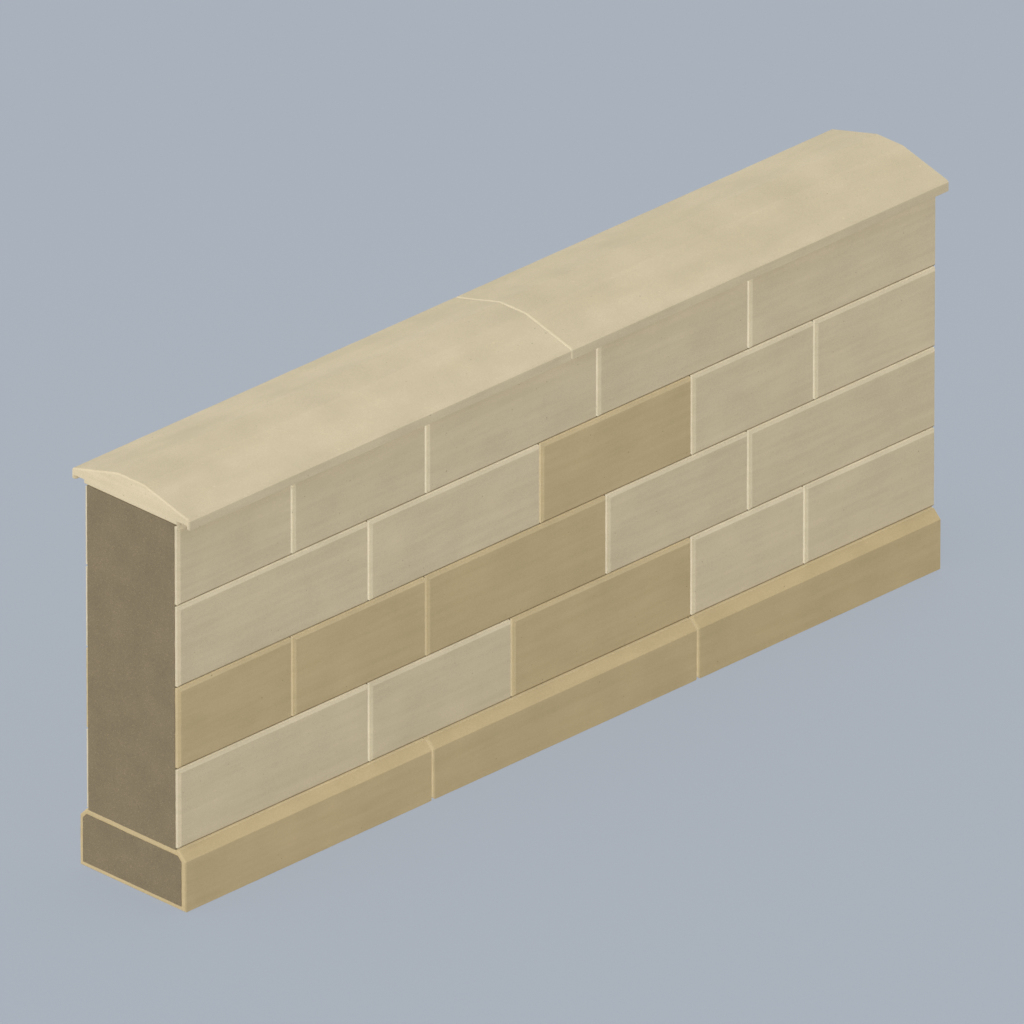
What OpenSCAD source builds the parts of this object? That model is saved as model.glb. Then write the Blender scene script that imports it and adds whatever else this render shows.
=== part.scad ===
// A length of free-standing boundary wall in coursed ashlar. Long, low stones
// run the full thickness of the wall, each with a bevelled margin that makes a
// V joint with its neighbours. The courses stand on a wider plinth with a
// sloped weathering, under a ridged coping with a drip groove below each edge.
// Both ends are faced with the mortar of the joint to the next length.
// Millimetres, +X along the wall, +Z up, origin under the middle of the plinth.

/* [Wall] */
// Length of the wall from end to end
wall_length = 4000; // [3600:50:4800]
// Thickness of the wall above its plinth
wall_thickness = 500; // [400:10:700]

/* [Courses] */
// Height of the stones in the lowest and the highest course
outer_course_height = 325; // [220:5:420]
// Height of the stones in each course between those two
inner_course_height = 330; // [220:5:420]
// Width of the 45 degree bevel round the faces of each stone
margin_bevel = 10; // [8:1:14]

/* [Joints] */
// Width of the bed joints and of the upright joints below the coping
joint = 8; // [5:1:12]
// Depth of the mortar behind the faces of the stones
mortar_recess = 20; // [12:1:24]

/* [Plinth] */
// Height of the plinth stones
plinth_height = 245; // [160:5:400]
// Distance that the plinth stands out from each face of the wall
plinth_projection = 30; // [20:2:60]

/* [Coping] */
// Distance that the coping overhangs each face of the wall
coping_overhang = 60; // [40:2:90]
// Height of the coping stones at the crown
coping_height = 108; // [90:1:140]
// Height of the upright edge of the coping
coping_edge = 38; // [30:1:50]
// Width of the level strip along the crown
crown_width = 136; // [60:4:200]
// Width of the lip between the edge of the coping and its drip groove
lip_width = 18; // [12:1:24]
// Depth of the drip groove, which runs from the lip to the wall's face
drip_depth = 12; // [6:1:14]

/* [Hidden] */
// Lengths of the stones from the left end, each to the middle of the joint on
// its right, in the plinth, in each course from the lowest, and in the coping.
// One more stone runs on from there to the right end.
plinth_lengths = [1300, 1400];
course_lengths = [
    [1000, 750, 950, 600],
    [600, 700, 950, 750],
    [1000, 900, 800, 650],
    [600, 700, 900, 800],
];
coping_lengths = [2000];
// Stones of the deeper tint, as places in each course from the left
deep_tint_places = [[3], [1, 2, 3], [3], []];

// Bevel round the ends of the plinth and coping stones
end_bevel = 5;
// Bevel along the top of the coping's upright edge
edge_bevel = 8;
// Distance from the wall's face back to the top of the weathering
weathering_tuck = 6;
// Slope of the weathering from the level
weathering_angle = 45;
// Bevel on the top corners of the mortar panel at each end of the plinth
panel_bevel = 20;

pale_stone = [0.80, 0.74, 0.62];
deep_stone = [0.73, 0.66, 0.51];
mortar_tint = [0.53, 0.48, 0.39];

wall_half = wall_thickness / 2;
plinth_half = wall_half + plinth_projection;
coping_half = wall_half + coping_overhang;
mortar_half = wall_half - mortar_recess;
weathering = plinth_projection + weathering_tuck;

courses = len(course_lengths);
plinth_stones = len(plinth_lengths) + 1;
coping_stones = len(coping_lengths) + 1;

// Height, underside and top of the stones in a course, counted from 1
function course_height(course) =
    course == 1 || course == courses ? outer_course_height : inner_course_height;
function course_bottom(course) =
    course == 1 ? plinth_height + joint : course_top(course - 1) + joint;
function course_top(course) = course_bottom(course) + course_height(course);
coping_bottom = course_top(courses) + joint;
shoulder = coping_bottom + coping_edge;
crown = coping_bottom + coping_height;

// Middle of the upright joint on the right of a stone, with the wall's left end
// at place 0, and the clear ends of the stone
function joint_middle(lengths, place) =
    place == 0 ? -wall_length / 2
    : place > len(lengths) ? wall_length / 2
    : joint_middle(lengths, place - 1) + lengths[place - 1];
function stone_left(lengths, place) = joint_middle(lengths, place - 1) + joint / 2;
function stone_right(lengths, place) = joint_middle(lengths, place) - joint / 2;

// Outline points on the +Y side followed by the same points on the -Y side
function both_sides(points) = [
    each points,
    for (i = [len(points) - 1 : -1 : 0]) [-points[i][0], points[i][1]],
];

function stone_name(course, place) = str("course_", course, "_stone_", place);
function mortar_name(course) = str("course_", course, "_mortar");
function places(course) = [1 : len(course_lengths[course - 1]) + 1];

// A YZ outline run along the wall between two X positions
module run_along(left, right) {
    translate([left, 0, 0])
        rotate([90, 0, 90])
            linear_extrude(right - left)
                children();
}

// The same, bevelled round both ends; the outline is convex
module bevelled_run(left, right) {
    hull() {
        run_along(left + end_bevel, right - end_bevel)
            children();
        run_along(left, right)
            offset(delta = -end_bevel)
                children();
    }
}

// A cutter for a groove through a stone, flared by the bevel at both ends
module flared_run(left, right) {
    flare = 2 * end_bevel;
    run_along(left, right)
        children();
    for (flip = [0, 1])
        translate([flip == 1 ? left : right, 0, 0])
            mirror([flip, 0, 0])
                hull() {
                    run_along(-flare, -end_bevel)
                        children();
                    run_along(end_bevel, flare)
                        offset(delta = flare)
                            children();
                }
}

// An XY outline raised between two heights
module raise(bottom, top) {
    translate([0, 0, bottom])
        linear_extrude(top - bottom)
            children();
}

module bevelled_rectangle(low, high, bevel) {
    polygon([
        [low[0] + bevel, low[1]],
        [high[0] - bevel, low[1]],
        [high[0], low[1] + bevel],
        [high[0], high[1] - bevel],
        [high[0] - bevel, high[1]],
        [low[0] + bevel, high[1]],
        [low[0], high[1] - bevel],
        [low[0], low[1] + bevel],
    ]);
}

// One stone of a course, with its margin bevelled on both faces
module ashlar_stone(course, place) {
    lengths = course_lengths[course - 1];
    left = stone_left(lengths, place);
    right = stone_right(lengths, place);
    bottom = course_bottom(course);
    top = course_top(course);
    is_deep = len(search(place, deep_tint_places[course - 1])) > 0;
    color(is_deep ? deep_stone : pale_stone)
        intersection() {
            run_along(left, right)
                bevelled_rectangle([-wall_half, bottom], [wall_half, top], margin_bevel);
            raise(bottom, top)
                bevelled_rectangle([left, -wall_half], [right, wall_half], margin_bevel);
        }
}

// One stone of the plinth, with a sloped weathering on both faces
module plinth_stone(place) {
    color(deep_stone)
        bevelled_run(stone_left(plinth_lengths, place), stone_right(plinth_lengths, place))
            polygon(both_sides([
                [plinth_half, 0],
                [plinth_half, plinth_height - weathering * tan(weathering_angle)],
                [plinth_half - weathering, plinth_height],
            ]));
}

// One coping stone, which butts against the next: a level crown, a slope to
// each edge, and a drip groove under each overhang
module coping_stone(place) {
    left = joint_middle(coping_lengths, place - 1);
    right = joint_middle(coping_lengths, place);
    color(pale_stone)
        difference() {
            bevelled_run(left, right)
                polygon(both_sides([
                    [coping_half, coping_bottom],
                    [coping_half, shoulder],
                    [coping_half - edge_bevel, shoulder + edge_bevel],
                    [crown_width / 2, crown],
                ]));
            for (flip = [0, 1])
                mirror([0, flip, 0])
                    flared_run(left, right)
                        translate([wall_half, coping_bottom - drip_depth])
                            square([coping_overhang - lip_width, 2 * drip_depth]);
        }
}

// Mortar bed over the given level, from one end facing to the other
module bed(bottom) {
    span = wall_length - joint;
    color(mortar_tint)
        translate([-span / 2, -mortar_half, bottom])
            cube([span, 2 * mortar_half, joint]);
}

// Upright mortar of the plinth joints, set back from the stones' outline
module plinth_mortar() {
    side = plinth_half - mortar_recess;
    top = plinth_half - weathering - mortar_recess / sin(weathering_angle);
    color(mortar_tint)
        for (place = [1 : len(plinth_lengths)])
            run_along(stone_right(plinth_lengths, place), stone_left(plinth_lengths, place + 1))
                polygon(both_sides([
                    [side, 0],
                    [side, plinth_height - (side - top) * tan(weathering_angle)],
                    [top, plinth_height],
                ]));
}

// The bed under a course together with the upright joints within it
module course_mortar(course) {
    lengths = course_lengths[course - 1];
    bottom = course_bottom(course) - joint;
    color(mortar_tint)
        union() {
            bed(bottom);
            for (place = [1 : len(lengths)])
                translate([stone_right(lengths, place), -mortar_half, bottom])
                    cube([joint, 2 * mortar_half, course_top(course) - bottom]);
        }
}

// Half a joint of mortar over an end of the courses; side is -1 left, 1 right
module wall_end_mortar(side) {
    middle = side * (wall_length - joint / 2) / 2;
    color(mortar_tint)
        translate([middle - joint / 4, -mortar_half, plinth_height])
            cube([joint / 2, 2 * mortar_half, coping_bottom - plinth_height]);
}

// Half a joint of mortar over an end of the plinth, set in from its outline
module plinth_end_mortar(side) {
    middle = side * (wall_length - joint / 2) / 2;
    panel_half = plinth_half - mortar_recess;
    panel_top = plinth_height - mortar_recess;
    color(mortar_tint)
        run_along(middle - joint / 4, middle + joint / 4)
            polygon(both_sides([
                [panel_half, mortar_recess],
                [panel_half, panel_top - panel_bevel],
                [panel_half - panel_bevel, panel_top],
            ]));
}

for (place = [1 : plinth_stones])
    plinth_stone(place);
for (course = [1 : courses], place = places(course))
    ashlar_stone(course, place);
for (place = [1 : coping_stones])
    coping_stone(place);
for (course = [1 : courses])
    course_mortar(course);
plinth_mortar();
bed(coping_bottom - joint);  // coping_bed_mortar
wall_end_mortar(-1);  // left_wall_end_mortar
wall_end_mortar(1);  // right_wall_end_mortar
plinth_end_mortar(-1);  // left_plinth_end_mortar
plinth_end_mortar(1);  // right_plinth_end_mortar
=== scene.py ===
"""Dressed limestone and lime mortar for a length of coursed ashlar wall.

Every stone of the frame gets a piece of its own: a copy of its solid, cut into
small faces, given a faint rubbed relief with worn arrises, and rounded a little
along its edges. The mortar over the two ends gets a floated surface in the same
way, and the mortar in the joints keeps its shape and gets a sanded finish.
Lengths are in metres, with X along the wall and Z up.
"""

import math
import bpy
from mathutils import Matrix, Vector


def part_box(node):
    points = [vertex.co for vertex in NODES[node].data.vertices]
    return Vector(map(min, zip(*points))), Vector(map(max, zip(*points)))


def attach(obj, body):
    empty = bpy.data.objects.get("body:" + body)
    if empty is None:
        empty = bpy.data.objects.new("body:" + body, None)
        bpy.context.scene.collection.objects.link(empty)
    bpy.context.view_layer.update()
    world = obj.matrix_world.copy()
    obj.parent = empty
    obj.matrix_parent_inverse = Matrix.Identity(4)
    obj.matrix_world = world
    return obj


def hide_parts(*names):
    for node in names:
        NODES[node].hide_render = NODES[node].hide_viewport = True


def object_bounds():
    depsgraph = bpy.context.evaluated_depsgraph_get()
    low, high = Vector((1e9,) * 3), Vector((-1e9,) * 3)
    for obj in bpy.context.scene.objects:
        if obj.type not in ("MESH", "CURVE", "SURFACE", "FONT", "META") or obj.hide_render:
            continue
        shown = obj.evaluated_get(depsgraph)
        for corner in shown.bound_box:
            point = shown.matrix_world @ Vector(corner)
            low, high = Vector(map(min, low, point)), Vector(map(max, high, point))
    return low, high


bl_info = {
    "name": "Coursed Ashlar Wall",
    "version": (1, 0, 0),
    "blender": (4, 5, 0),
    "location": "3D View > Sidebar > Ashlar Wall",
    "description": "Dresses the stones and mortar of a coursed ashlar wall and sets up a studio round it",
    "category": "Object",
}

import bmesh
import bpy
from bpy.props import FloatProperty, FloatVectorProperty, IntProperty, PointerProperty
from mathutils import Vector

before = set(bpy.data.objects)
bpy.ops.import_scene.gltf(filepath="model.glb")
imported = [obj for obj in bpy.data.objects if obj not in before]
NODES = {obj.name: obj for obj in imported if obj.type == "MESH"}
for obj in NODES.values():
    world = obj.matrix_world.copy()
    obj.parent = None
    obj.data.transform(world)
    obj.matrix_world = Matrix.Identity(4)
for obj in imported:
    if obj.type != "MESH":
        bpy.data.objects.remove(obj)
cad_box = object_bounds()

ASHLARS = sorted(name for name in NODES if name.startswith("course_") and "_stone_" in name)
PLINTH_STONES = sorted(name for name in NODES if name.startswith("plinth_stone_"))
COPING_STONES = sorted(name for name in NODES if name.startswith("coping_stone_"))
END_MORTARS = sorted(name for name in NODES if name.endswith("_end_mortar"))
JOINT_MORTARS = sorted(name for name in NODES if name.endswith("_mortar") and name not in END_MORTARS)
X, Y, Z = 0, 1, 2


# Sizes and colours


class StoneDressing(bpy.types.PropertyGroup):
    """Surface of the sawn and rubbed stones"""

    cell: FloatProperty(
        name="Cell",
        description="Spacing of the cuts that divide each face of a stone",
        default=0.025,
        min=0.01,
        max=0.1,
        unit="LENGTH",
    )
    strip: FloatProperty(
        name="Arris Strip",
        description="Width of the row of faces along every arris",
        default=0.006,
        min=0.004,
        max=0.02,
        unit="LENGTH",
    )
    round_width: FloatProperty(
        name="Arris Rounding",
        description="Width of the rounding along every arris",
        default=0.0016,
        min=0.0005,
        max=0.004,
        unit="LENGTH",
        precision=5,
    )
    relief_depth: FloatProperty(
        name="Relief Depth",
        description="Depth of the broad hollows left by rubbing",
        default=0.0005,
        min=0.0,
        max=0.002,
        unit="LENGTH",
        precision=5,
    )
    relief_size: FloatProperty(
        name="Relief Size",
        description="Size of the broad hollows",
        default=0.14,
        min=0.05,
        max=0.5,
        unit="LENGTH",
    )
    wear_depth: FloatProperty(
        name="Arris Wear",
        description="Depth by which the arrises are worn back in places",
        default=0.0006,
        min=0.0,
        max=0.001,
        unit="LENGTH",
        precision=5,
    )
    wear_size: FloatProperty(
        name="Wear Size",
        description="Length of the worn places along an arris",
        default=0.06,
        min=0.02,
        max=0.3,
        unit="LENGTH",
    )
    seed: IntProperty(
        name="Seed",
        description="Seed of the first stone, one more for each stone after it",
        default=11,
        min=0,
    )


class MortarDressing(bpy.types.PropertyGroup):
    """Surface of the floated mortar over the ends of the wall"""

    cell: FloatProperty(
        name="Cell",
        description="Spacing of the cuts that divide the mortar",
        default=0.016,
        min=0.008,
        max=0.05,
        unit="LENGTH",
    )
    strip: FloatProperty(
        name="Edge Strip",
        description="Width of the row of faces along every edge",
        default=0.003,
        min=0.002,
        max=0.01,
        unit="LENGTH",
    )
    round_width: FloatProperty(
        name="Edge Rounding",
        description="Width of the rounding along every edge",
        default=0.0008,
        min=0.0003,
        max=0.002,
        unit="LENGTH",
        precision=5,
    )
    relief_depth: FloatProperty(
        name="Relief Depth",
        description="Depth of the hollows left by the float",
        default=0.0011,
        min=0.0,
        max=0.002,
        unit="LENGTH",
        precision=5,
    )
    relief_size: FloatProperty(
        name="Relief Size",
        description="Size of the hollows left by the float",
        default=0.09,
        min=0.03,
        max=0.3,
        unit="LENGTH",
    )
    wear_depth: FloatProperty(
        name="Edge Wear",
        description="Depth by which the edges are broken back in places",
        default=0.0008,
        min=0.0,
        max=0.001,
        unit="LENGTH",
        precision=5,
    )
    wear_size: FloatProperty(
        name="Wear Size",
        description="Length of the broken places along an edge",
        default=0.03,
        min=0.01,
        max=0.1,
        unit="LENGTH",
    )
    seed: IntProperty(
        name="Seed",
        description="Seed of the first panel, one more for each panel after it",
        default=71,
        min=0,
    )


class WallColours(bpy.types.PropertyGroup):
    """Colours of the stone and the mortar"""

    pale_stone: FloatVectorProperty(
        name="Pale Stone",
        description="Middle colour of the pale buff limestone",
        subtype="COLOR",
        default=(0.604, 0.518, 0.351),
        min=0.0,
        max=1.0,
    )
    deep_stone: FloatVectorProperty(
        name="Deep Stone",
        description="Middle colour of the honey limestone",
        subtype="COLOR",
        default=(0.512, 0.406, 0.227),
        min=0.0,
        max=1.0,
    )
    mortar: FloatVectorProperty(
        name="Mortar",
        description="Middle colour of the brown lime mortar",
        subtype="COLOR",
        default=(0.2085, 0.166, 0.1025),
        min=0.0,
        max=1.0,
    )
    cloudiness: FloatProperty(
        name="Cloudiness",
        description="Strength of the clouds and bedding in the stone's colour",
        default=0.045,
        min=0.0,
        max=0.3,
        subtype="FACTOR",
    )


class WallStudio(bpy.types.PropertyGroup):
    """Floor, light and camera"""

    backdrop: FloatVectorProperty(
        name="Backdrop",
        description="Colour of the floor and of all that is seen behind the wall",
        subtype="COLOR",
        default=(0.397, 0.440, 0.503),
        min=0.0,
        max=1.0,
    )
    sky: FloatProperty(
        name="Sky",
        description="Strength of the even light from all round",
        default=0.5,
        min=0.0,
        max=2.0,
    )
    floor_radius: FloatProperty(
        name="Floor Radius",
        description="Radius of the floor",
        default=9.0,
        min=3.0,
        unit="LENGTH",
    )
    azimuth: FloatProperty(
        name="Azimuth",
        description="Direction of the camera round the wall, from the middle of its front",
        default=math.radians(-45),
        subtype="ANGLE",
    )
    elevation: FloatProperty(
        name="Elevation",
        description="Height of the camera above the horizon",
        default=math.radians(26.8),
        subtype="ANGLE",
    )
    lens: FloatProperty(
        name="Lens",
        description="Focal length of the camera, so long that lines that are parallel stay so in view",
        default=1600.0,
        min=50.0,
        unit="CAMERA",
    )
    view_width: FloatProperty(
        name="View Width",
        description="Width of the view at the middle of the wall",
        default=3.8167,
        min=0.5,
        unit="LENGTH",
    )
    view_shift: FloatProperty(
        name="View Shift",
        description="Distance from the middle of the view to the middle of the wall, on its right",
        default=0.0046,
        min=-1.0,
        max=1.0,
        unit="LENGTH",
        precision=4,
    )


# Node trees


def add_node(tree, kind, column, row, inputs=None, **settings):
    """A node at a column and a row of the tree, with its own settings and values for its inputs."""
    made = tree.nodes.new(kind)
    made.location = (column * 200, -row * 180)
    for name, value in settings.items():
        setattr(made, name, value)
    for socket, value in (inputs or {}).items():
        made.inputs[socket].default_value = value
    return made


def wire(tree, *pairs):
    """Links each pair of an output and an input."""
    for output, target in pairs:
        tree.links.new(output, target)


# Least angle in radians between the two faces at an arris
ARRIS_ANGLE = 0.02
# Arrises are whole where the wear's noise is under the first share, and fully worn
# where it is over the second
WHOLE_SHARE = 0.45
WORN_SHARE = 0.7
# Step between the noise of one seed and the next
SEED_STEP = 3.7
# Farthest place of a stone in its bed along each axis
BED_REACH = 20


def dressing_tree():
    """Geometry Nodes that give a finely cut solid its relief, worn arrises, tone and place in a bed."""
    tree = bpy.data.node_groups.new("Dressed Stone", "GeometryNodeTree")
    for name, kind in (
        ("Geometry", "NodeSocketGeometry"),
        ("Relief Depth", "NodeSocketFloat"),
        ("Relief Size", "NodeSocketFloat"),
        ("Wear Depth", "NodeSocketFloat"),
        ("Wear Size", "NodeSocketFloat"),
        ("Seed", "NodeSocketInt"),
        ("Material", "NodeSocketMaterial"),
    ):
        tree.interface.new_socket(name, in_out="INPUT", socket_type=kind)
    tree.interface.new_socket("Geometry", in_out="OUTPUT", socket_type="NodeSocketGeometry")
    given = add_node(tree, "NodeGroupInput", 0, 0)

    def maths(column, row, operation, first, second):
        """The result of a sum, of which each term is a number or the output of a node."""
        made = add_node(tree, "ShaderNodeMath", column, row, operation=operation)
        for socket, value in zip(made.inputs, (first, second)):
            if isinstance(value, float):
                socket.default_value = value
            else:
                wire(tree, (value, socket))
        return made.outputs[0]

    def hollows(row, size):
        """Noise whose features have the given size."""
        scale = maths(1, row, "DIVIDE", 1.0, given.outputs[size])
        noise = add_node(tree, "ShaderNodeTexNoise", 2, row, {"Detail": 2.0}, noise_dimensions="4D")
        wire(tree, (scale, noise.inputs["Scale"]), (pattern, noise.inputs["W"]))
        return noise.outputs["Fac"]

    def kept(column, name, kind, value):
        """A step that keeps a value under a name at every point."""
        store = "GeometryNodeStoreNamedAttribute"
        made = add_node(tree, store, column, 0, {"Name": name}, data_type=kind, domain="POINT")
        wire(tree, (value, made.inputs["Value"]))
        return made

    # One number for all the points of a stone gives it one tone and one place
    whole = add_node(tree, "FunctionNodeInputInt", 2, 7, integer=1)
    tone = add_node(tree, "FunctionNodeRandomValue", 3, 6, data_type="FLOAT")
    reach = {"Min": [-BED_REACH] * 3, "Max": [BED_REACH] * 3}
    place = add_node(tree, "FunctionNodeRandomValue", 4, 6, reach, data_type="FLOAT_VECTOR")
    for random in (tone, place):
        wire(tree, (whole.outputs[0], random.inputs["ID"]), (given.outputs["Seed"], random.inputs["Seed"]))

    angle = add_node(tree, "GeometryNodeInputMeshEdgeAngle", 1, 6)
    arris = add_node(tree, "FunctionNodeCompare", 2, 6, {"B": ARRIS_ANGLE}, operation="GREATER_THAN")
    wire(tree, (angle.outputs["Unsigned Angle"], arris.inputs["A"]))

    pattern = maths(1, 4, "MULTIPLY", given.outputs["Seed"], SEED_STEP)
    relief = maths(3, 2, "MULTIPLY", hollows(2, "Relief Size"), given.outputs["Relief Depth"])
    shares = {"From Min": WHOLE_SHARE, "From Max": WORN_SHARE}
    worn = add_node(tree, "ShaderNodeMapRange", 3, 3, shares, interpolation_type="SMOOTHSTEP")
    wire(tree, (hollows(3, "Wear Size"), worn.inputs["Value"]))
    wear = maths(4, 3, "MULTIPLY", worn.outputs["Result"], given.outputs["Wear Depth"])
    arris_wear = maths(5, 3, "MULTIPLY", wear, arris.outputs["Result"])
    inward = maths(7, 2, "MULTIPLY", maths(6, 2, "ADD", relief, arris_wear), -1.0)
    normal = add_node(tree, "GeometryNodeInputNormal", 7, 4)
    offset = add_node(tree, "ShaderNodeVectorMath", 8, 2, operation="SCALE")
    moved = add_node(tree, "GeometryNodeSetPosition", 9, 0)
    finish = add_node(tree, "GeometryNodeSetMaterial", 12, 0)
    wire(
        tree,
        (normal.outputs["Normal"], offset.inputs[0]),
        (inward, offset.inputs["Scale"]),
        (offset.outputs["Vector"], moved.inputs["Offset"]),
        (given.outputs["Material"], finish.inputs["Material"]),
    )

    steps = (
        given,
        kept(4, "tone", "FLOAT", tone.outputs[1]),
        kept(5, "bed_place", "FLOAT_VECTOR", place.outputs[0]),
        moved,
        add_node(tree, "GeometryNodeSetShadeSmooth", 10, 0),
        add_node(tree, "GeometryNodeRealizeInstances", 11, 0),
        finish,
        add_node(tree, "NodeGroupOutput", 13, 0),
    )
    for step, following in zip(steps, steps[1:]):
        wire(tree, (step.outputs["Geometry"], following.inputs["Geometry"]))
    return tree


# Materials

# Shares by which shells are lighter than their stone, pits are darker than it, and
# clouds in the mortar are lighter and darker than the rest of it
SHELL_SHADE = 0.14
PIT_SHADE = -0.45
MORTAR_CLOUDINESS = 0.065


def blank_material(name):
    """A material with a matt stone shader, and the coordinates of the piece in its bed."""
    material = bpy.data.materials.new(name)
    material.use_nodes = True
    tree = material.node_tree
    tree.nodes.clear()
    output = add_node(tree, "ShaderNodeOutputMaterial", 13, 0)
    shader = add_node(tree, "ShaderNodeBsdfPrincipled", 12, 0, {"Specular IOR Level": 0.25})
    at = add_node(tree, "ShaderNodeTexCoord", 0, 2)
    bed = add_node(tree, "ShaderNodeAttribute", 0, 4, attribute_name="bed_place")
    place = add_node(tree, "ShaderNodeVectorMath", 1, 2, operation="ADD")
    wire(
        tree,
        (shader.outputs["BSDF"], output.inputs["Surface"]),
        (at.outputs["Object"], place.inputs[0]),
        (bed.outputs["Vector"], place.inputs[1]),
    )
    return material, tree, shader, place.outputs["Vector"]


def shade(colour, share):
    """A colour made lighter or darker by a share of itself."""
    return tuple(min(1.0, c * (1 + share)) for c in colour) + (1.0,)


def tinted(tree, column, row, factor, first, second, blend="MIX"):
    """A colour mixed from two, each a colour or the output of a node."""
    mix = add_node(tree, "ShaderNodeMix", column, row, data_type="RGBA", blend_type=blend)
    for socket, value in zip((s for s in mix.inputs if s.enabled), (factor, first, second)):
        if isinstance(value, bpy.types.NodeSocket):
            wire(tree, (value, socket))
        else:
            socket.default_value = value
    return next(s for s in mix.outputs if s.enabled)


def multiplied(tree, column, row, colour, by):
    """A colour multiplied by another."""
    return tinted(tree, column, row, 1.0, colour, by, "MULTIPLY")


def pushed_about(tree, column, row, place, scale, amount):
    """Coordinates pushed about a little, so that grains and pits have uneven outlines."""
    noise = add_node(tree, "ShaderNodeTexNoise", column, row, {"Scale": scale})
    push = add_node(tree, "ShaderNodeVectorMath", column + 1, row, {"Scale": amount}, operation="SCALE")
    pushed = add_node(tree, "ShaderNodeVectorMath", column + 1, row + 1, operation="ADD")
    wire(
        tree,
        (place, noise.inputs["Vector"]),
        (noise.outputs["Color"], push.inputs[0]),
        (place, pushed.inputs[0]),
        (push.outputs["Vector"], pushed.inputs[1]),
    )
    return pushed.outputs["Vector"]


def stretched(tree, column, row, place, scale, turn=(0, 0, 0)):
    """Coordinates turned and multiplied, so that a pattern is narrower by that scale along each axis."""
    mapping = add_node(tree, "ShaderNodeMapping", column, row, {"Scale": scale, "Rotation": turn})
    wire(tree, (place, mapping.inputs["Vector"]))
    return mapping.outputs["Vector"]


def clouds(tree, column, row, place, scale, detail, low, high):
    """A factor that goes from 0 to 1 where noise goes from a low to a high value."""
    noise = add_node(tree, "ShaderNodeTexNoise", column, row, {"Scale": scale, "Detail": detail})
    share = add_node(tree, "ShaderNodeMapRange", column + 1, row, {"From Min": low, "From Max": high})
    wire(tree, (place, noise.inputs["Vector"]), (noise.outputs["Fac"], share.inputs["Value"]))
    return share.outputs["Result"]


def grains(tree, column, row, place, scale):
    """Close grains: how far each point is from its grain's middle, and a number for each grain."""
    cells = add_node(tree, "ShaderNodeTexVoronoi", column, row, {"Scale": scale})
    tone = add_node(tree, "ShaderNodeSeparateColor", column + 1, row)
    wire(tree, (place, cells.inputs["Vector"]), (cells.outputs["Color"], tone.inputs["Color"]))
    return cells.outputs["Distance"], tone.outputs["Green"]


def flecks(tree, column, row, place, scale, channel, rarity, size, edge, strength):
    """Soft-edged flecks in those cells whose random number, from 0 to 1, is over the rarity."""
    cells = add_node(tree, "ShaderNodeTexVoronoi", column, row, {"Scale": scale})
    number = add_node(tree, "ShaderNodeSeparateColor", column + 1, row)
    radius = add_node(tree, "ShaderNodeMapRange", column + 2, row, {"From Min": rarity, "To Max": size})
    inside = add_node(tree, "ShaderNodeMath", column + 3, row, operation="SUBTRACT")
    soft = {"From Max": edge, "To Max": strength}
    share = add_node(tree, "ShaderNodeMapRange", column + 4, row, soft, interpolation_type="SMOOTHSTEP")
    wire(
        tree,
        (place, cells.inputs["Vector"]),
        (cells.outputs["Color"], number.inputs["Color"]),
        (number.outputs[channel], radius.inputs["Value"]),
        (radius.outputs["Result"], inside.inputs[0]),
        (cells.outputs["Distance"], inside.inputs[1]),
        (inside.outputs[0], share.inputs["Value"]),
    )
    return share.outputs["Result"]


def surface(tree, shader, colour, grain_tone, smoothest, roughest, bumps):
    """Wires a colour, a roughness that differs from grain to grain, and bumps to the shader.

    Each bump is its height, its strength, its depth, and whether it goes inwards.
    """
    limits = {"To Min": smoothest, "To Max": roughest}
    roughness = add_node(tree, "ShaderNodeMapRange", 10, 2, limits)
    wire(
        tree,
        (colour, shader.inputs["Base Color"]),
        (grain_tone, roughness.inputs["Value"]),
        (roughness.outputs["Result"], shader.inputs["Roughness"]),
    )
    below = None
    for column, (height, strength, depth, inwards) in enumerate(bumps, start=10):
        sizes = {"Strength": strength, "Distance": depth}
        bump = add_node(tree, "ShaderNodeBump", column, 4, sizes, invert=inwards)
        wire(tree, (height, bump.inputs["Height"]))
        if below:
            wire(tree, (below, bump.inputs["Normal"]))
        below = bump.outputs["Normal"]
    wire(tree, (below, shader.inputs["Normal"]))


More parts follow.
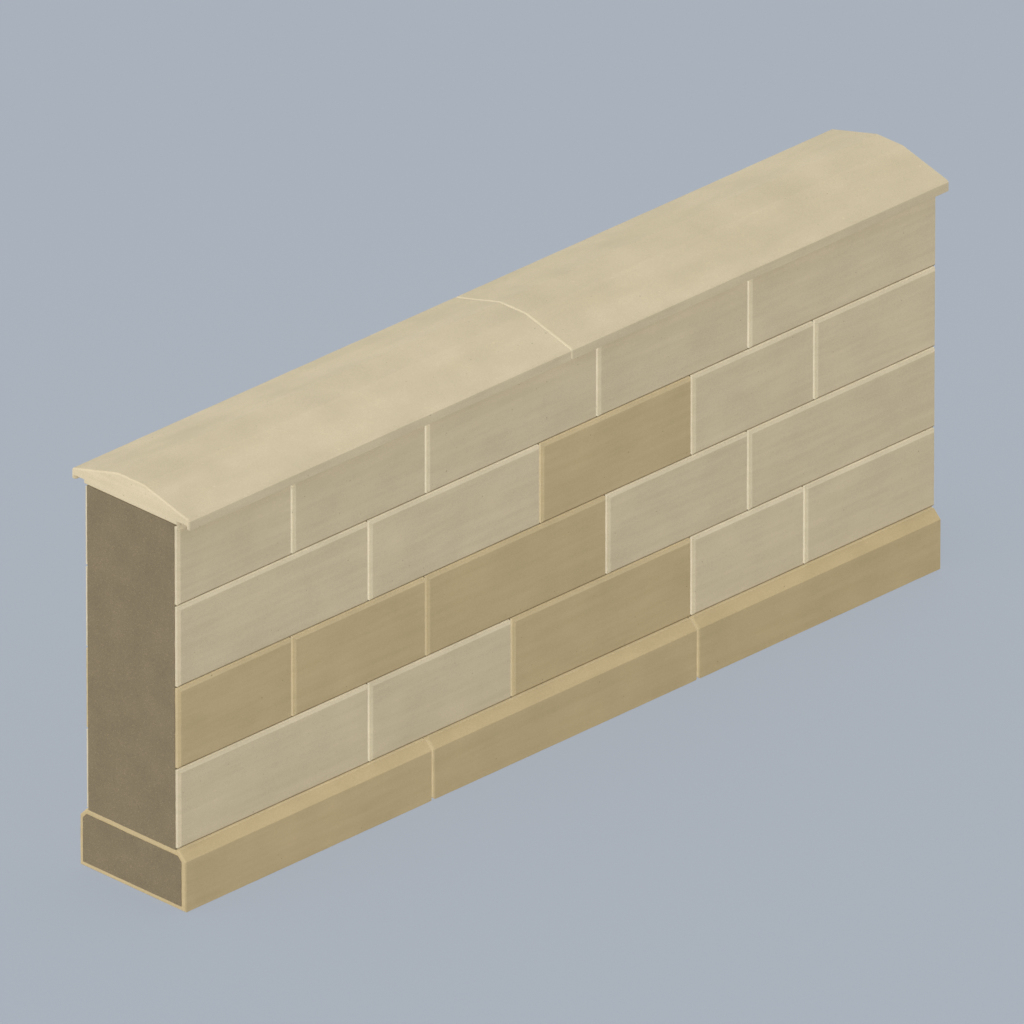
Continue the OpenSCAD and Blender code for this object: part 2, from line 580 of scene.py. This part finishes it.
def limestone(name, colour, cloudiness):
    """Fine-grained limestone: clouds and faint beds of colour, round grains, shells, small pits, and
    painted light and shade on the faces in the joints.
    """
    material, tree, shader, place = blank_material(name)
    uneven = pushed_about(tree, 0, 6, place, scale=700.0, amount=0.0022)
    tilt = (math.radians(1.5), math.radians(2.5), 0)
    bedding = stretched(tree, 2, 2, place, scale=(1.2, 1.2, 16.0), turn=tilt)
    grain, grain_tone = grains(tree, 2, 4, uneven, scale=480.0)
    pits = flecks(
        tree, 2, 6, uneven, scale=55.0, channel="Red", rarity=0.86, size=0.16, edge=0.06, strength=1.0
    )
    flat = stretched(tree, 2, 8, uneven, scale=(30.0, 30.0, 95.0))
    shells = flecks(
        tree, 3, 8, flat, scale=1.0, channel="Blue", rarity=0.82, size=0.22, edge=0.08, strength=0.7
    )
    cloud = clouds(tree, 2, 0, place, scale=5.0, detail=5.0, low=0.3, high=0.7)
    bed = clouds(tree, 3, 2, bedding, scale=2.4, detail=4.0, low=0.35, high=0.65)
    tone = add_node(tree, "ShaderNodeAttribute", 6, 3, attribute_name="tone")
    joint = add_node(tree, "ShaderNodeAttribute", 9, 5, attribute_name="joint_tint")

    stone = tinted(tree, 5, 0, cloud, shade(colour, -cloudiness), shade(colour, cloudiness))
    # Beds, grains and the stone's own tone each multiply it by a colour from low to high
    for column, factor, low, high in (
        (6, bed, (0.97, 0.97, 0.96), (1.03, 1.03, 1.04)),
        (7, grain_tone, (0.93, 0.925, 0.91), (1.07, 1.075, 1.09)),
        (8, tone.outputs["Fac"], (0.985, 0.985, 0.98), (1.015, 1.015, 1.02)),
    ):
        stone = multiplied(tree, column, 0, stone, tinted(tree, column, 1, factor, (*low, 1), (*high, 1)))
    stone = tinted(tree, 9, 0, shells, stone, shade(colour, SHELL_SHADE))
    # The faces in the joints are multiplied by their painted light and shade
    stone = multiplied(tree, 10, 0, stone, joint.outputs["Color"])
    stone = tinted(tree, 11, 0, pits, stone, shade(colour, PIT_SHADE))
    bumps = (grain, 0.25, 0.0004, False), (pits, 0.6, 0.0012, True)
    surface(tree, shader, stone, grain_tone, smoothest=0.78, roughest=0.92, bumps=bumps)
    return material


def lime_mortar(name, colour):
    """Brown lime mortar with coarse sand of several colours and float marks."""
    material, tree, shader, place = blank_material(name)
    uneven = pushed_about(tree, 0, 6, place, scale=900.0, amount=0.0016)
    sand, sand_tone = grains(tree, 2, 2, uneven, scale=420.0)
    sand_shade = add_node(tree, "ShaderNodeValToRGB", 4, 2)
    ramp = sand_shade.color_ramp
    ramp.elements[0].color = (0.72, 0.72, 0.72, 1)
    ramp.elements[1].color = (1.45, 1.42, 1.36, 1)
    for at, grey in ((0.12, 0.93), (0.88, 1.05)):
        ramp.elements.new(at).color = (grey, grey, grey, 1)
    wire(tree, (sand_tone, sand_shade.inputs["Fac"]))
    along = stretched(tree, 2, 4, place, scale=(40.0, 3.0, 40.0))
    drag = add_node(tree, "ShaderNodeTexNoise", 3, 4, {"Scale": 2.0, "Detail": 3.0})
    wire(tree, (along, drag.inputs["Vector"]))
    cloud = clouds(tree, 2, 0, place, scale=9.0, detail=6.0, low=0.3, high=0.7)

    dark, light = shade(colour, -MORTAR_CLOUDINESS), shade(colour, MORTAR_CLOUDINESS)
    mortar = multiplied(tree, 6, 0, tinted(tree, 5, 0, cloud, dark, light), sand_shade.outputs["Color"])
    bumps = (sand, 0.5, 0.0007, False), (drag.outputs["Fac"], 0.3, 0.0015, False)
    surface(tree, shader, mortar, sand_tone, smoothest=0.85, roughest=0.98, bumps=bumps)
    return material


FINISHES = {"pale_stone": "Pale Limestone", "deep_stone": "Honey Limestone", "mortar": "Lime Mortar"}


def wall_material(slot):
    """The finish for a material slot of the wall, made when it is first asked for."""
    found = bpy.data.materials.get(FINISHES[slot])
    if found:
        return found
    colours = bpy.context.scene.wall_colours
    if slot == "mortar":
        return lime_mortar(FINISHES[slot], colours.mortar)
    return limestone(FINISHES[slot], getattr(colours, slot), colours.cloudiness)


def slot_of(node):
    """The material slot that the frame gives a node."""
    return NODES[node].data.materials[0].name


# Pieces

# Colours multiplied into the faces of a stone, which are painted light and shade: the
# beds and the upright joints are painted paler, against the shade that falls in them;
# the bevels that look up over a bed and the ends of the courses at the wall's ends are
# painted a little cooler, and the bevels in the upright joints a little darker and
# cooler, against the warm light that bounces between the faces; and the bevels that
# look down over a bed are painted darker, as painted shade on faces that look down
PAINTED_BED_LIGHT = (1.25, 1.33, 1.48, 1)
PAINTED_BED_BEVEL_LIGHT = (1, 1.02, 1.07, 1)
PAINTED_UNDERSIDE_SHADE = (0.68, 0.64, 0.58, 1)
PAINTED_UPRIGHT_LIGHT = (1.05, 1.13, 1.31, 1)
PAINTED_UPRIGHT_BEVEL_SHADE = (0.955, 0.985, 1.025, 1)
PLAIN_TINT = (1, 1, 1, 1)
# A face looks along an axis, or slopes towards it, from these shares of its direction
SQUARE = 0.9
SLOPING = 0.6
# Joints lie inside these bounds by more than the margins, and the wall's ends, its
# foot and the underside of its coping don't
END_MARGIN = 0.05
LEVEL_MARGIN = 0.001
INNER_END = cad_box[1][X] - END_MARGIN
LOWEST_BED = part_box(PLINTH_STONES[0])[1][Z] - LEVEL_MARGIN
HIGHEST_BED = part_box(COPING_STONES[0])[0][Z] - LEVEL_MARGIN
# Points closer than this are merged, and so are faces that meet at less than this angle
SAME_PLACE = 1e-5
SAME_PLANE = math.radians(0.5)
# A part of a face is cut where it is wider than this many strips
WIDE = 3


def cuts_across(solid, axis, cell, strip):
    """Places for cuts that leave a narrow strip beside every corner and even cells between."""
    levels = sorted({round(point.co[axis], 6) for point in solid.verts})
    cuts = []
    for low, high in zip(levels, levels[1:]):
        if high - low > WIDE * strip:
            low, high = low + strip, high - strip
            steps = max(1, round((high - low) / cell))
            cuts += [low + (high - low) * step / steps for step in range(steps + 1)]
    return cuts


def joint_tint(face):
    """Painted light and shade for a stone's face, which depend on the joint that it looks into and on
    which way the face looks.
    """
    middle = face.calc_center_median()
    across, up = abs(face.normal.x), face.normal.z
    if across > SLOPING and abs(middle.x) < INNER_END:
        return PAINTED_UPRIGHT_LIGHT if across > SQUARE else PAINTED_UPRIGHT_BEVEL_SHADE
    if not LOWEST_BED < middle.z < HIGHEST_BED:
        return PLAIN_TINT
    if abs(up) > SQUARE:
        return PAINTED_BED_LIGHT
    if up < -SLOPING:
        return PAINTED_UNDERSIDE_SHADE
    return PAINTED_BED_BEVEL_LIGHT if up > SLOPING or across > SQUARE else PLAIN_TINT


def cut_solid(node, name, axes, cell, strip):
    """A new object with the shape of a frame node, in one mesh whose faces are cut into cells."""
    source = NODES[node].data
    mesh = bpy.data.meshes.new(name)
    mesh.from_pydata([v.co[:] for v in source.vertices], [], [p.vertices[:] for p in source.polygons])
    solid = bmesh.new()
    solid.from_mesh(mesh)
    bmesh.ops.remove_doubles(solid, verts=solid.verts[:], dist=SAME_PLACE)
    bmesh.ops.dissolve_limit(solid, angle_limit=SAME_PLANE, verts=solid.verts[:], edges=solid.edges[:])
    planned = {axis: cuts_across(solid, axis, cell, strip) for axis in axes}
    for axis, cuts in planned.items():
        across = Vector((0, 0, 0))
        across[axis] = 1
        for cut in cuts:
            bmesh.ops.bisect_plane(
                solid,
                geom=solid.verts[:] + solid.edges[:] + solid.faces[:],
                dist=1e-6,
                plane_co=across * cut,
                plane_no=across,
            )
    # Each face keeps its painted light and shade
    tint = solid.faces.layers.float_color.new("joint_tint")
    for face in solid.faces:
        face[tint] = joint_tint(face)
    solid.to_mesh(mesh)
    solid.free()
    piece = bpy.data.objects.new(name, mesh)
    bpy.context.scene.collection.objects.link(piece)
    return piece


def run_dressing(piece, inputs):
    """Runs the dressing tree on a cut solid and keeps the result as a plain mesh."""
    tree = bpy.data.node_groups.get("Dressed Stone") or dressing_tree()
    modifier = piece.modifiers.new("Dressing", "NODES")
    modifier.node_group = tree
    for socket in tree.interface.items_tree:
        if socket.in_out == "INPUT" and socket.name in inputs:
            modifier[socket.identifier] = inputs[socket.name]
    graph = bpy.context.evaluated_depsgraph_get()
    dressed = bpy.data.meshes.new_from_object(
        piece.evaluated_get(graph), preserve_all_data_layers=True, depsgraph=graph
    )
    piece.modifiers.remove(modifier)
    bare = piece.data
    piece.data = dressed
    bpy.data.meshes.remove(bare)
    dressed.name = piece.name
    if not dressed.polygons or not dressed.materials:
        raise RuntimeError(f"the dressing of {piece.name} left no faces or no finish")


def round_arrises(piece, width):
    """Rounds every arris a little; the flat faces beside it keep their straight shading."""
    bevel = piece.modifiers.new("Arris Rounding", "BEVEL")
    bevel.width = width
    bevel.segments = 2
    bevel.limit_method = "ANGLE"
    bevel.angle_limit = math.radians(12)
    bevel.harden_normals = True


def dress(node, prefix, number, axes, dressing):
    """One piece, cut along the given axes, dressed, rounded and standing for its solid in the frame."""
    piece = cut_solid(node, f"{prefix}_{node}", axes, dressing.cell, dressing.strip)
    run_dressing(
        piece,
        {
            "Relief Depth": dressing.relief_depth,
            "Relief Size": dressing.relief_size,
            "Wear Depth": dressing.wear_depth,
            "Wear Size": dressing.wear_size,
            "Seed": dressing.seed + number,
            "Material": wall_material(slot_of(node)),
        },
    )
    round_arrises(piece, dressing.round_width)
    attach(piece, "root")
    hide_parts(node)


# The seeds of the plinth and of the coping start this far from those of the courses
PLINTH_SEED = 100
COPING_SEED = 200


class WALL_OT_ashlar_stones(bpy.types.Operator):
    """Dress the stones of the four courses"""

    bl_idname = "wall.ashlar_stones"
    bl_label = "Ashlar Stones"

    def execute(self, context):
        for number, node in enumerate(ASHLARS):
            dress(node, "dressed", number, (X, Z), context.scene.stone_dressing)
        return {"FINISHED"}


class WALL_OT_plinth_stones(bpy.types.Operator):
    """Dress the stones of the plinth"""

    bl_idname = "wall.plinth_stones"
    bl_label = "Plinth Stones"

    def execute(self, context):
        for number, node in enumerate(PLINTH_STONES, start=PLINTH_SEED):
            dress(node, "dressed", number, (X, Z), context.scene.stone_dressing)
        return {"FINISHED"}


class WALL_OT_coping_stones(bpy.types.Operator):
    """Dress the stones of the coping"""

    bl_idname = "wall.coping_stones"
    bl_label = "Coping Stones"

    def execute(self, context):
        for number, node in enumerate(COPING_STONES, start=COPING_SEED):
            dress(node, "dressed", number, (X, Y), context.scene.stone_dressing)
        return {"FINISHED"}


class WALL_OT_end_mortar(bpy.types.Operator):
    """Give the mortar over both ends of the wall its floated surface"""

    bl_idname = "wall.end_mortar"
    bl_label = "End Mortar"

    def execute(self, context):
        for number, node in enumerate(END_MORTARS):
            dress(node, "floated", number, (Y, Z), context.scene.mortar_dressing)
        return {"FINISHED"}


class WALL_OT_joint_mortar(bpy.types.Operator):
    """Give the mortar in the beds and upright joints its finish"""

    bl_idname = "wall.joint_mortar"
    bl_label = "Joint Mortar"

    def execute(self, context):
        for node in JOINT_MORTARS:
            NODES[node].data.materials[0] = wall_material("mortar")
        return {"FINISHED"}


# Stage

# Width of each lamp in the sky, and its distance, which doesn't change its light
LAMP_SPREAD = math.radians(20)
LAMP_DISTANCE = 8
# Fill lamps as name, strength, azimuth from the front and elevation in degrees. They
# cast no shadow of their own: the even sky light gives the soft shadows.
LAMPS = (
    ("Top Light", 0.306, 0, 90),
    ("Left Light", 0.396, -130, 0),
    ("Side Light", 0.222, -90, 5),
    ("Corner Light", 0.182, -45, 30),
    ("Front Light", 0.161, 0, 10),
    ("Right Light", 0.42, 100, 0),
)


def direction(azimuth, elevation):
    """Unit vector from the wall; azimuth 0 is in front of it and 90 to its right."""
    flat = math.cos(elevation)
    return Vector((math.sin(azimuth) * flat, -math.cos(azimuth) * flat, math.sin(elevation)))


def aim(thing, towards):
    """Turns a lamp or a camera so that it looks back along the given direction."""
    thing.rotation_mode = "QUATERNION"
    thing.rotation_quaternion = towards.to_track_quat("Z", "Y")


def fill_lamp(name, strength, azimuth, elevation):
    """A soft far lamp, which at a strength of 1 lights a surface that faces it as a white sky does."""
    light = bpy.data.lights.new(name, "SUN")
    light.energy = strength * math.pi
    light.angle = LAMP_SPREAD
    light.use_shadow = False
    lamp = bpy.data.objects.new(name, light)
    bpy.context.scene.collection.objects.link(lamp)
    towards = direction(math.radians(azimuth), math.radians(elevation))
    lamp.location = towards * LAMP_DISTANCE
    aim(lamp, towards)


def seen_directly(tree, column, row):
    """An output that is 1 where a surface or the sky is seen, in a mirror or through glass too."""
    path = add_node(tree, "ShaderNodeLightPath", column, row)
    first = add_node(tree, "ShaderNodeMath", column + 1, row, operation="MAXIMUM")
    second = add_node(tree, "ShaderNodeMath", column + 2, row, operation="MAXIMUM")
    wire(
        tree,
        (path.outputs["Is Camera Ray"], first.inputs[0]),
        (path.outputs["Is Glossy Ray"], first.inputs[1]),
        (first.outputs[0], second.inputs[0]),
        (path.outputs["Is Transmission Ray"], second.inputs[1]),
    )
    return second.outputs[0]


def studio_world(studio):
    """Even light from all round, behind a plain backdrop colour."""
    world = bpy.data.worlds.new("Studio Light")
    bpy.context.scene.world = world
    world.use_nodes = True
    tree = world.node_tree
    tree.nodes.clear()
    even = {"Color": (1, 1, 1, 1), "Strength": studio.sky}
    light = add_node(tree, "ShaderNodeBackground", 3, 0, even)
    backdrop = add_node(tree, "ShaderNodeBackground", 3, 1, {"Color": (*studio.backdrop, 1)})
    mix = add_node(tree, "ShaderNodeMixShader", 4, 0)
    output = add_node(tree, "ShaderNodeOutputWorld", 5, 0)
    wire(
        tree,
        (seen_directly(tree, 0, 2), mix.inputs[0]),
        (light.outputs[0], mix.inputs[1]),
        (backdrop.outputs[0], mix.inputs[2]),
        (mix.outputs[0], output.inputs["Surface"]),
    )


# Share of the light that the floor throws back at the wall
FLOOR_BOUNCE = 0.44
# The floor is seen with this share of plain, unlit colour as far out as the first
# radius, and with nothing else from the second, so that its edge doesn't show
PLAIN_SHARE = 0.55
NEAR_RADIUS = 2.0
FAR_RADIUS = 5.5


def floor_material(studio):
    """The backdrop's colour, lit and with the wall's shadow near the wall, and plain further out."""
    material = bpy.data.materials.new("Studio Floor")
    material.use_nodes = True
    tree = material.node_tree
    tree.nodes.clear()
    # Divided by the light that falls on the floor, so that it is seen in its own colour
    level = studio.sky + sum(strength * math.sin(math.radians(up)) for _, strength, _, up in LAMPS)
    lit_colour = (*(c / level for c in studio.backdrop), 1)
    lit = add_node(tree, "ShaderNodeBsdfDiffuse", 3, 1, {"Color": lit_colour})
    plain = add_node(tree, "ShaderNodeEmission", 3, 2, {"Color": (*studio.backdrop, 1)})
    bounce = add_node(tree, "ShaderNodeBsdfDiffuse", 4, 1, {"Color": (*[FLOOR_BOUNCE] * 3, 1)})
    at = add_node(tree, "ShaderNodeTexCoord", 0, 0)
    away = add_node(tree, "ShaderNodeVectorMath", 1, 0, operation="LENGTH")
    fade = {"From Min": NEAR_RADIUS, "From Max": FAR_RADIUS, "To Min": PLAIN_SHARE}
    share = add_node(tree, "ShaderNodeMapRange", 2, 0, fade, interpolation_type="SMOOTHSTEP")
    outward = add_node(tree, "ShaderNodeMixShader", 4, 0)
    mix = add_node(tree, "ShaderNodeMixShader", 5, 0)
    output = add_node(tree, "ShaderNodeOutputMaterial", 6, 0)
    wire(
        tree,
        (at.outputs["Object"], away.inputs[0]),
        (away.outputs["Value"], share.inputs["Value"]),
        (share.outputs["Result"], outward.inputs[0]),
        (lit.outputs[0], outward.inputs[1]),
        (plain.outputs[0], outward.inputs[2]),
        (seen_directly(tree, 2, 3), mix.inputs[0]),
        (bounce.outputs[0], mix.inputs[1]),
        (outward.outputs[0], mix.inputs[2]),
        (mix.outputs[0], output.inputs["Surface"]),
    )
    return material


def studio_floor(studio):
    """A round floor, level with the wall's foot."""
    disc = bmesh.new()
    bmesh.ops.create_circle(disc, cap_ends=True, segments=96, radius=studio.floor_radius)
    mesh = bpy.data.meshes.new("studio_floor")
    disc.to_mesh(mesh)
    disc.free()
    mesh.materials.append(floor_material(studio))
    floor = bpy.data.objects.new("studio_floor", mesh)
    bpy.context.scene.collection.objects.link(floor)


def studio_camera(studio):
    """A camera with a very long lens, aimed at the middle of the wall and a little to its left."""
    camera = bpy.data.cameras.new("Camera")
    camera.lens = studio.lens
    camera.sensor_width = 36.0
    camera.clip_start = 1.0
    camera.clip_end = 1000.0
    viewer = bpy.data.objects.new("Camera", camera)
    bpy.context.scene.collection.objects.link(viewer)
    back = direction(studio.azimuth, studio.elevation)
    across = Vector((math.cos(studio.azimuth), math.sin(studio.azimuth), 0))
    middle = (cad_box[0] + cad_box[1]) / 2 - studio.view_shift * across
    viewer.location = middle + back * studio.view_width / camera.sensor_width * studio.lens
    aim(viewer, back)
    bpy.context.scene.camera = viewer


class WALL_OT_studio(bpy.types.Operator):
    """Set up the floor, the light and the camera round the wall"""

    bl_idname = "wall.studio"
    bl_label = "Studio"

    def execute(self, context):
        studio = context.scene.wall_studio
        studio_floor(studio)
        studio_world(studio)
        for lamp in LAMPS:
            fill_lamp(*lamp)
        studio_camera(studio)
        context.scene.view_settings.view_transform = "Standard"
        return {"FINISHED"}


# Panel and registration


class WALL_PT_sidebar(bpy.types.Panel):
    """Sizes, colours and pieces of the wall"""

    bl_idname = "WALL_PT_sidebar"
    bl_label = "Ashlar Wall"
    bl_space_type = "VIEW_3D"
    bl_region_type = "UI"
    bl_category = "Ashlar Wall"

    def draw(self, context):
        layout = self.layout
        layout.use_property_split = True
        for title, holder, _ in SETTINGS:
            box = layout.box()
            box.label(text=title)
            settings = getattr(context.scene, holder)
            for name in settings.bl_rna.properties.keys():
                if name not in {"rna_type", "name"}:
                    box.prop(settings, name)
        for operator in OPERATORS:
            layout.operator(operator.bl_idname)


# Title in the panel, name in the scene and class of each group of settings
SETTINGS = (
    ("Stone", "stone_dressing", StoneDressing),
    ("Mortar", "mortar_dressing", MortarDressing),
    ("Colours", "wall_colours", WallColours),
    ("Studio", "wall_studio", WallStudio),
)
OPERATORS = (
    WALL_OT_ashlar_stones,
    WALL_OT_plinth_stones,
    WALL_OT_coping_stones,
    WALL_OT_end_mortar,
    WALL_OT_joint_mortar,
    WALL_OT_studio,
)
CLASSES = (*(group for _, _, group in SETTINGS), *OPERATORS, WALL_PT_sidebar)


def register():
    for made in CLASSES:
        bpy.utils.register_class(made)
    for _, holder, group in SETTINGS:
        setattr(bpy.types.Scene, holder, PointerProperty(type=group))


def unregister():
    for _, holder, _ in SETTINGS:
        delattr(bpy.types.Scene, holder)
    for made in reversed(CLASSES):
        bpy.utils.unregister_class(made)


def main():
    register()
    bpy.ops.wall.ashlar_stones()
    bpy.ops.wall.plinth_stones()
    bpy.ops.wall.coping_stones()
    bpy.ops.wall.end_mortar()
    bpy.ops.wall.joint_mortar()
    bpy.ops.wall.studio()


if __name__ == "__main__":
    main()
